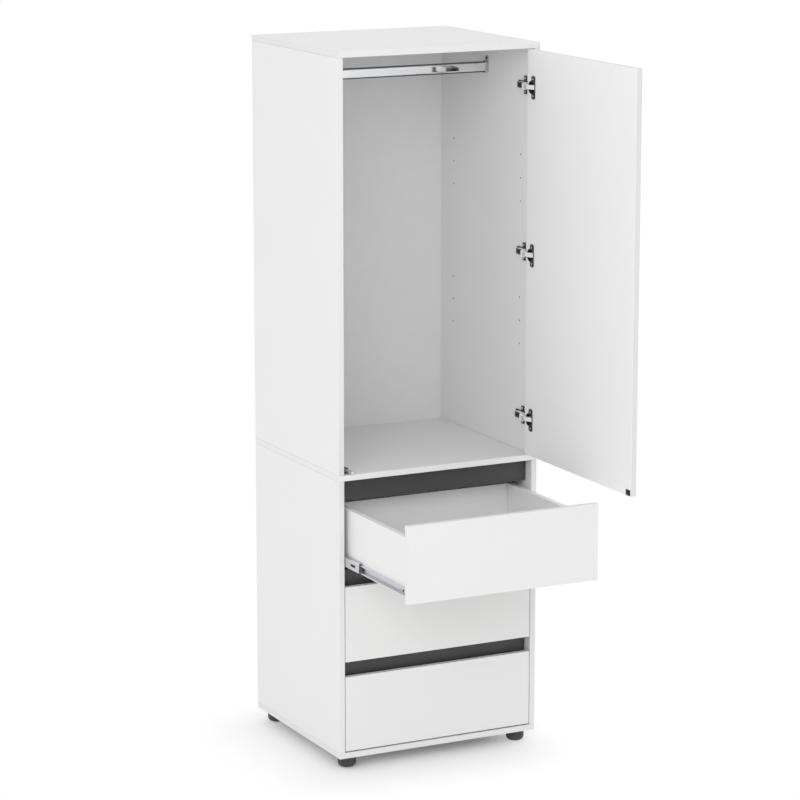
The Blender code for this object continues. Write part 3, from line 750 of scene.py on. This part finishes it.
# %% [markdown]
# ## Hinges
#
# A cup hinge is bored into the door and hooked on a winged plate on the wall. The frame's solids already
# have the cranked arm, the plate, the bowl and the link, so a merged copy is the quickest start: its
# loose triangles are joined, flat faces are made whole again and every edge is rounded, as pressing and
# plating round it.

# %% Copy a solid and round it
HINGES = ("lower", "middle", "upper")
HINGE_ROUND = 0.35 * MM
COPY_MERGE = 0.01 * MM
FLAT = math.radians(1)


def solid_copy(node):
    """A merged copy of a node, with its flat faces whole and its edges rounded."""
    bm = bmesh.new()
    bm.from_mesh(nodes[node].data)
    bmesh.ops.remove_doubles(bm, verts=bm.verts, dist=COPY_MERGE)
    bmesh.ops.dissolve_limit(bm, angle_limit=FLAT, verts=bm.verts, edges=bm.edges)
    return soften(bm, HINGE_ROUND)


print("pressed edges are rounded by", HINGE_ROUND / MM, "mm")

# %% [markdown]
# On the wall, the front of the arm is bright with a painted highlight, and the plate and the rear of the
# arm are dark with painted shade. One mesh can have both, because the faces are sorted by where they lie.
# The saddle, its lip and the rivets join the arm to the link, and the screws and ribs belong to the plate.

# %% Hinge arms and plates
PLATE_FACE = 3.0 * MM
# Faces of the arm further back than this, like the plate, get painted shade.
PAINTED_HIGHLIGHT_DEPTH = 33 * MM
WING_SCREW, WING_SCREW_LINE, WING_SCREW_HEIGHT = mm(2.8, 1.8), 47.5 * MM, 18.5 * MM
ARM_SCREW, ARM_SCREW_LINES, ARM_FACE = mm(4.4, 1.3), mm(46, 60), 15 * MM
RIB_LINES, RIB_WIDTH, RIB_HEIGHT = mm(74, 78, 82), 2 * MM, 18 * MM
RIB_FOOT, RIB_TOP, RIB_ROUND = PLATE_FACE - 1 * MM, PLATE_FACE + 1.6 * MM, 0.5 * MM
SADDLE_LOW, SADDLE_HIGH = mm(5.0, 21.2, -6.3), mm(25.4, 22.4, 6.3)
LIP_LOW, LIP_HIGH = mm(24.8, 16.6, -6.3), mm(26.0, 21.8, 6.3)
SADDLE_ROUND, LIP_ROUND = mm(0.3, 0.4)
NOSE_RIVETS = (mm(9.5, 23.2), mm(15.5, 22.6))      # from the front, from the wall
RIVET, RIVET_CROWN, RIVET_SHANK = mm(2.1, 1.4, 1)
RIVET_EDGE, RIVET_RISE, RIVET_TOP = mm(0.3, 0.8, 0.9)
RIVET_LINE = [(0, -RIVET_SHANK), (RIVET, -RIVET_SHANK), (RIVET, RIVET_EDGE), (RIVET_CROWN, RIVET_RISE),
              (0, RIVET_TOP)]
CHEEK = 7.8 * MM               # from the middle of the arm to its cheeks
wall_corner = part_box("upper_side_right")[0]

for hinge in HINGES:
    place = on_wall("right", wall_corner.y, centre_of(f"{hinge}_hinge_arm").z)
    arm = solid_copy(f"{hinge}_hinge_arm")
    # Painted shade at the plate and the rear of the arm, a painted highlight on its front.
    for face in arm.faces:
        spot = face.calc_center_median()
        plate_side = wall_corner.x - spot.x < PLATE_FACE + HINGE_ROUND
        face.material_index = int(plate_side or spot.y - wall_corner.y > PAINTED_HIGHLIGHT_DEPTH)
    for way in (1, -1):
        seat = (PLATE_FACE, WING_SCREW_LINE, way * WING_SCREW_HEIGHT)
        drive(arm, WING_SCREW, place, seat, FACE_ROOM, 2)
        for along, reach in NOSE_RIVETS:
            seat = Matrix.Translation((reach, along, way * CHEEK)) @ Matrix.Diagonal((1, 1, way, 1))
            add_shape(arm, turn(RIVET_LINE, SCREW_STEPS), place @ seat)
    for along in ARM_SCREW_LINES:
        drive(arm, ARM_SCREW, place, (ARM_FACE, along, 0), FACE_ROOM, 1)
    add_shape(arm, block(SADDLE_LOW, SADDLE_HIGH, SADDLE_ROUND), place)
    add_shape(arm, block(LIP_LOW, LIP_HIGH, LIP_ROUND), place)
    for along in RIB_LINES:
        rib = block((RIB_FOOT, along - RIB_WIDTH / 2, -RIB_HEIGHT / 2),
                    (RIB_TOP, along + RIB_WIDTH / 2, RIB_HEIGHT / 2), RIB_ROUND)
        add_shape(arm, rib, place, 1)
    show(f"{hinge}_cranked_arm", arm, [nickel_painted_highlight, dark_nickel_and_painted_shade, zinc_part], "carcass",
         [f"{hinge}_hinge_arm"])

# %% [markdown]
# The cup lies in the door, so it is drawn where the open door has it, and its places count from the
# door's inner face and its hinge edge. What stays within the height of the link, and stands proud of the
# door or hangs free in the bowl, belongs to the bright link with its painted highlight; the rest of the
# cup gets painted shade.

# %% Hinge cups
LINK_HALF = 6.2 * MM
BOWL_WALL_FROM = 15.8 * MM
CUP_FROM_EDGE = 22.5 * MM
CUP_SCREW, CUP_SCREW_FROM_EDGE, CUP_SCREW_HEIGHT = mm(2.8, 1.2), 32 * MM, 22.5 * MM
FLANGE_FACE = 1.5 * MM
door_low, door_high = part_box("door_panel")
bowl_line = door_high.y - CUP_FROM_EDGE

for hinge in HINGES:
    height = centre_of(f"{hinge}_hinge_cup").z
    cup = solid_copy(f"{hinge}_hinge_cup")
    # The link gets the painted highlight, and the rest of the cup painted shade.
    for face in cup.faces:
        spot = face.calc_center_median()
        in_height = all(abs(vert.co.z - height) < LINK_HALF for vert in face.verts)
        proud = spot.x < door_low.x
        in_bowl = abs(spot.y - bowl_line) < BOWL_WALL_FROM
        face.material_index = 0 if in_height and (proud or in_bowl) else 1
    for way in (1, -1):
        seat = (door_low.x - FLANGE_FACE, door_high.y - CUP_SCREW_FROM_EDGE,
                height + way * CUP_SCREW_HEIGHT)
        drive(cup, CUP_SCREW, Matrix(), seat, FACE_WALL, 2)
    show(f"{hinge}_bored_cup", cup, [nickel_painted_highlight, dark_nickel_and_painted_shade, zinc_part], "door",
         [f"{hinge}_hinge_cup"])

# %% [markdown]
# ## Garment rail
#
# The rail is a flat-oval chromed tube between two die-cast sockets. Tube and sockets keep their solids,
# because their round ends are already there, and get their plating. A screw through the tab over each
# socket is added.

# %% Rail and socket screws
TAB_SCREW, TAB_SCREW_RISE = mm(4.0, 1.8), 24 * MM
SOCKET_BASE = 2.3 * MM
finish_node("garment_rail", chrome)
rail_middle = centre_of("garment_rail")
tab_screws = bmesh.new()
for side in INWARD:
    finish_node(f"rail_socket_{side}", chromed_zamak)
    place = on_wall(side, rail_middle.y, rail_middle.z + TAB_SCREW_RISE)
    drive(tab_screws, TAB_SCREW, place, (SOCKET_BASE, 0, 0), FACE_ROOM)
show("rail_socket_screws", tab_screws, [phosphated], "carcass")

# %% [markdown]
# ## Push latch
#
# A small barrel on the floor of the hanging space springs the door open: pressing the door pushes its
# plunger in. The barrel is a spun tube with a collar and grip rings. Its line is closed, so that the
# bore is spun with it and needs no boolean. The base is a plate with four screws.

# %% Latch barrel
TURN_STEPS = 32
ALONG_Y = Matrix.Rotation(-math.pi / 2, 4, "X")       # turns +Z of a turned shape to +Y
BARREL, COLLAR, BORE = mm(7.0, 7.6, 4.3)              # radii
COLLAR_LENGTH, COLLAR_ROUND = mm(5, 0.6)
RINGS, RING_START, RING_PITCH = 6, 44 * MM, 3 * MM
RING_WIDTH, RING_DEPTH = mm(2, 0.5)
END_ROUND, END_WALL = mm(1, 10)
LATCH_BASE, LATCH_BASE_ROUND = mm(2.7, 0.8)
LATCH_SCREW, LATCH_SCREW_LINES, LATCH_SCREW_ASIDE = mm(2.2, 0.8), mm(9, 59), 8.6 * MM
low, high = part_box("latch_housing")
axis = centre_of("latch_plunger")
length = high.y - low.y

line = [(BORE, 0), (COLLAR - COLLAR_ROUND, 0), (COLLAR, COLLAR_ROUND), (COLLAR, COLLAR_LENGTH),
        (BARREL, COLLAR_LENGTH + COLLAR_ROUND)]
for ring in range(RINGS):
    start = RING_START + ring * RING_PITCH
    line += [(BARREL, start), (BARREL - RING_DEPTH, start + RING_DEPTH),
             (BARREL - RING_DEPTH, start + RING_WIDTH - RING_DEPTH), (BARREL, start + RING_WIDTH)]
line += [(BARREL, length - END_ROUND), (BARREL - END_ROUND, length), (0, length),
         (0, length - END_WALL), (BORE, length - END_WALL)]
latch = bmesh.new()
mouth = Matrix.Translation((axis.x, low.y, axis.z)) @ ALONG_Y
add_shape(latch, turn(line, TURN_STEPS, closed=True), mouth)
add_shape(latch, block(low, (high.x, high.y, low.z + LATCH_BASE), LATCH_BASE_ROUND))
for along in LATCH_SCREW_LINES:
    for way in (1, -1):
        seat = (axis.x + way * LATCH_SCREW_ASIDE, low.y + along, low.z + LATCH_BASE)
        drive(latch, LATCH_SCREW, Matrix(), seat, Matrix(), 1)
show("latch_barrel", latch, [black_moulding, phosphated], "carcass", ["latch_housing"])

# %% [markdown]
# The grey plunger carries a pale rubber bumper on its tip and a narrow groove behind it. Both are spun
# about the axis of the barrel, so that they run true in its bore.

# %% Latch plunger
BUMPER, BUMPER_ROUND = mm(2.0, 0.6)
BUMPER_TIP, BUMPER_SIDE, ROD_END = 0.6, 0.8, 0.9      # shares of the rod's radius
GROOVE_FROM, GROOVE_TO, GROOVE_SLOPE, GROOVE_NECK = 7 * MM, 8.8 * MM, 0.4 * MM, 0.88
low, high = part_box("latch_plunger")
radius = (high.x - low.x) / 2
neck = GROOVE_NECK * radius
reach = high.y - low.y

bumper = [(0, 0), (BUMPER_TIP * radius, 0), (BUMPER_SIDE * radius, BUMPER_ROUND),
          (BUMPER_SIDE * radius, BUMPER), (0, BUMPER)]
rod = [(0, BUMPER), (ROD_END * radius, BUMPER), (radius, BUMPER + BUMPER_ROUND), (radius, GROOVE_FROM),
       (neck, GROOVE_FROM + GROOVE_SLOPE), (neck, GROOVE_TO - GROOVE_SLOPE),
       (radius, GROOVE_TO), (radius, reach), (0, reach)]
place = Matrix.Translation((axis.x, low.y, axis.z)) @ ALONG_Y
plunger = bmesh.new()
add_shape(plunger, turn(rod, TURN_STEPS), place)
add_shape(plunger, turn(bumper, TURN_STEPS), place, 1)
show("latch_pin", plunger, [grey_moulding, pale_rubber], "latch_plunger",
     ["latch_plunger"])

# %% [markdown]
# On the door, a small dark plate with one screw takes the push of the bumper. It is a block whose four
# corners are rounded first, and whose face is then softened a little.

# %% Strike plate
STRIKE_WIDTH, STRIKE_HEIGHT, STRIKE_SHEET = mm(22, 16, 1.0)
STRIKE_CORNER, STRIKE_ROUND, STRIKE_SHARP = 3 * MM, 0.3 * MM, math.radians(60)
STRIKE_FROM_EDGE, STRIKE_FROM_BELOW = mm(13, 8.5)
STRIKE_SCREW = mm(4.4, 0.5)
spot = Vector((door_low.x, door_low.y + STRIKE_FROM_EDGE, door_low.z + STRIKE_FROM_BELOW))
half = Vector((0, STRIKE_WIDTH / 2, STRIKE_HEIGHT / 2))
proud = Vector((STRIKE_SHEET, 0, 0))

strike = plain_block(spot - half - proud, spot + half)
corners = [edge for edge in strike.edges
           if abs(edge.verts[0].co.x - edge.verts[1].co.x) > STRIKE_SHEET / 2]
bmesh.ops.bevel(strike, geom=corners, offset=STRIKE_CORNER, offset_type="OFFSET", segments=4,
                profile=0.5, affect="EDGES", material=-1)
soften(strike, STRIKE_ROUND, STRIKE_SHARP)
drive(strike, STRIKE_SCREW, Matrix(), spot - proud, FACE_WALL, 1)
show("latch_strike_plate", strike, [dark_nickel_and_painted_shade, phosphated], "door")

# %% [markdown]
# ## Shelf holes
#
# Two rows of blind holes in each upper side wait for shelf pins. The drill leaves bare chipboard, which
# is brown and lies in shade, so the holes look dark against the white. The holes are already in the
# boards. A thin turned cup in each of them lines it with the colour of the chips.

# %% Line the shelf holes
LINING_RADIUS, LINING_WALL, LINING_DEPTH = mm(2.3, 0.3, 9.6)
LINING_SINK = 0.3 * MM
LINING_STEPS = 16
HOLE_INSET = 74.5 * MM
HOLE_GROUPS = mm(360, 752)      # over the middle panel
HOLE_PITCH = 64 * MM
CHIP = 1.5 * MM

# Bare chipboard: small pale and dark brown chips, quite matt.
chips, tree, shader, spot = start_finish("bare_chipboard")
chip = add_node(tree, "TexVoronoi", {"Vector": spot["Object"], "Scale": 1 / CHIP})
tone = add_node(tree, "Mix",
                {0: chip["Distance"], 6: linear("#8C7252"), 7: linear("#5E4A33")}, data_type="RGBA")
fill(tree, shader, {"Base Color": tone[2], "Roughness": 0.9})

inner = LINING_RADIUS - LINING_WALL
cup_line = [(0, -LINING_DEPTH), (LINING_RADIUS, -LINING_DEPTH), (LINING_RADIUS, -LINING_SINK),
            (inner, -LINING_SINK), (inner, LINING_WALL - LINING_DEPTH), (0, LINING_WALL - LINING_DEPTH)]
hole_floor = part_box("middle_panel")[1].z
linings = bmesh.new()
for side in INWARD:
    low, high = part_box(f"upper_side_{side}")
    for along in (low.y + HOLE_INSET, high.y - HOLE_INSET):
        for group in HOLE_GROUPS:
            for step in (-1, 0, 1):
                place = on_wall(side, along, hole_floor + group + step * HOLE_PITCH)
                add_shape(linings, turn(cup_line, LINING_STEPS), place @ FACE_ROOM)
show("shelf_hole_linings", linings, [chips], "carcass")

# %% [markdown]
# ## Pins in the back
#
# The back sheet is nailed to the rear edges of the sides and panels. Its pins have thin domed heads, set
# at an even pitch along the middle of each board's edge. They are short turned shapes in one piece.

# %% Nail the back on
PIN_RADIUS, PIN_DOME, PIN_SHANK, PIN_STEPS = 3.2 * MM, 0.7 * MM, 1 * MM, 12
PIN_PITCH = 120 * MM
PIN_LINE = [(0, -PIN_SHANK), (PIN_RADIUS, -PIN_SHANK), (PIN_RADIUS, 0.3 * PIN_DOME),
            (0.6 * PIN_RADIUS, 0.9 * PIN_DOME), (0, PIN_DOME)]
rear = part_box("back_panel")[1].y
panel_heights = [centre_of(f"{panel}_panel").z for panel in ("bottom", "middle", "top")]
side_places = [centre_of(f"lower_side_{side}").x for side in INWARD]


def spread(start, end):
    """Even places from one end to the other, about one pitch apart."""
    gaps = round((end - start) / PIN_PITCH)
    return [start + (end - start) * step / gaps for step in range(gaps + 1)]


places = [(x, z) for x in side_places for z in spread(panel_heights[0], panel_heights[-1])]
places += [(x, z) for z in panel_heights for x in spread(*side_places)[1:-1]]
pins = bmesh.new()
for x, z in places:
    add_shape(pins, turn(PIN_LINE, PIN_STEPS), Matrix.Translation((x, rear, z)) @ ALONG_Y)
show("back_panel_pins", pins, [zinc_part], "carcass")
print(len(places), "pins")

# %% [markdown]
# ## Floor
#
# The studio is all white, with a pale floor that runs out of sight. The floor close round the carcass is
# a plain matt surface, so it keeps the soft shadow. Away from that rectangle it turns to pure white for
# the camera and for reflections, which hides the horizon without putting more light on the object. The
# rectangle stops short of the right side and the back, where the floor is clear almost up to the feet.

# %% Floor paint
SHADOW_ENDS, WHITE_STARTS = 0.0, 0.28
CLEAR_RIGHT, CLEAR_BACK = 0.16, 0.14
WHITE_SEEN = 1.0
shaded_low, shaded_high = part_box("bottom_panel")
shaded_high -= Vector((CLEAR_RIGHT, CLEAR_BACK, 0))


def seen_directly(tree):
    """A socket that is 1 for the camera, in mirrors and through glass, and 0 for light on objects."""
    path = add_node(tree, "LightPath", {})
    seen = path["Is Camera Ray"]
    for ray in ("Is Glossy Ray", "Is Transmission Ray"):
        either = add_node(tree, "Math", {0: seen, 1: path[ray]}, operation="MAXIMUM")
        seen = either[0]
    return seen


# Matt and white, with a soft shadow near the carcass and no horizon.
floor_paint, tree, shader, spot = start_finish("matt_studio_floor")
aside = add_node(tree, "VectorMath",
                 {0: spot["Object"], 1: (shaded_low + shaded_high) / 2}, operation="SUBTRACT")
aside = add_node(tree, "VectorMath", {0: aside[0]}, operation="ABSOLUTE")
beyond = add_node(tree, "VectorMath", {0: aside[0], 1: (shaded_high - shaded_low) / 2},
                  operation="SUBTRACT")
beyond = add_node(tree, "VectorMath", {0: beyond[0], 1: (0, 0, 0)}, operation="MAXIMUM")
away = add_node(tree, "VectorMath", {0: beyond[0]}, operation="LENGTH")
far = add_node(tree, "MapRange",
               {"Value": away["Value"], "From Min": SHADOW_ENDS, "From Max": WHITE_STARTS},
               interpolation_type="SMOOTHSTEP")
fade = add_node(tree, "Math", {0: far[0], 1: seen_directly(tree)}, operation="MULTIPLY")
white = add_node(tree, "Emission", {"Color": linear("#FFFFFF"), "Strength": WHITE_SEEN})
mixed = add_node(tree, "MixShader", {0: fade[0], 1: shader.outputs[0], 2: white[0]})
fill(tree, tree.nodes["Material Output"], {"Surface": mixed[0]})
fill(tree, shader, {"Base Color": linear("#FBFBFB"), "Roughness": 0.9, "Specular IOR Level": 0.1})
print("floor turns white", WHITE_STARTS, "m from the carcass")

# %% [markdown]
# The floor itself is one large disc, a hair under the feet, so that the two never share a plane. It is
# declared as stage, because it is no part of the wardrobe.

# %% Lay the floor
FLOOR_RADIUS, FLOOR_STEPS = 40.0, 96
FLOOR_DROP = 0.2 * MM

disc = bmesh.new()
bmesh.ops.create_circle(disc, cap_ends=True, segments=FLOOR_STEPS, radius=FLOOR_RADIUS)
floor_mesh = bpy.data.meshes.new("floor")
disc.to_mesh(floor_mesh)
disc.free()
floor_mesh.materials.append(floor_paint)
floor = bpy.data.objects.new("floor", floor_mesh)
floor.location.z = -FLOOR_DROP
scene.collection.objects.link(floor)
floor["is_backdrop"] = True
print("floor laid", FLOOR_RADIUS, "m wide to each side")

# %% [markdown]
# ## Light
#
# An even dome lights everything, and one large soft lamp from the left gives the sides their different
# tones. Many lamps could do the same, but a dome has no edges that show in chrome. Seen directly it is
# pure white, as the floor is.

# %% Dome and lamp
DOME_STRENGTH = 0.88
LAMP_POWER = 90.0
LAMP_SIZE = 3.5
LAMP_PLACE = Vector((-3.9, -4.3, 3.6))
LAMP_AIM = Vector((0, -0.1, 1.0))

world = bpy.data.worlds.new("white_studio")
world.use_nodes = True
tree = world.node_tree
tree.nodes.clear()
lit = add_node(tree, "Background", {"Color": linear("#FFFFFF"), "Strength": DOME_STRENGTH})
white = add_node(tree, "Background", {"Color": linear("#FFFFFF"), "Strength": WHITE_SEEN})
mixed = add_node(tree, "MixShader", {0: seen_directly(tree), 1: lit[0], 2: white[0]})
add_node(tree, "OutputWorld", {"Surface": mixed[0]})
scene.world = world

lamp = bpy.data.objects.new("soft_lamp", bpy.data.lights.new("soft_lamp", "AREA"))
lamp.data.shape = "DISK"
lamp.data.size = LAMP_SIZE
lamp.data.energy = LAMP_POWER
lamp.location = LAMP_PLACE
lamp.rotation_euler = (LAMP_AIM - LAMP_PLACE).to_track_quat("-Z", "Y").to_euler()
scene.collection.objects.link(lamp)
print("lamp stands", round((LAMP_AIM - LAMP_PLACE).length, 2), "m away")

# %% [markdown]
# ## Measure the sizes
#
# The dressed wardrobe should fill the same box as its frame. Here its box is measured.

# %% Measure the sizes
low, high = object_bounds()
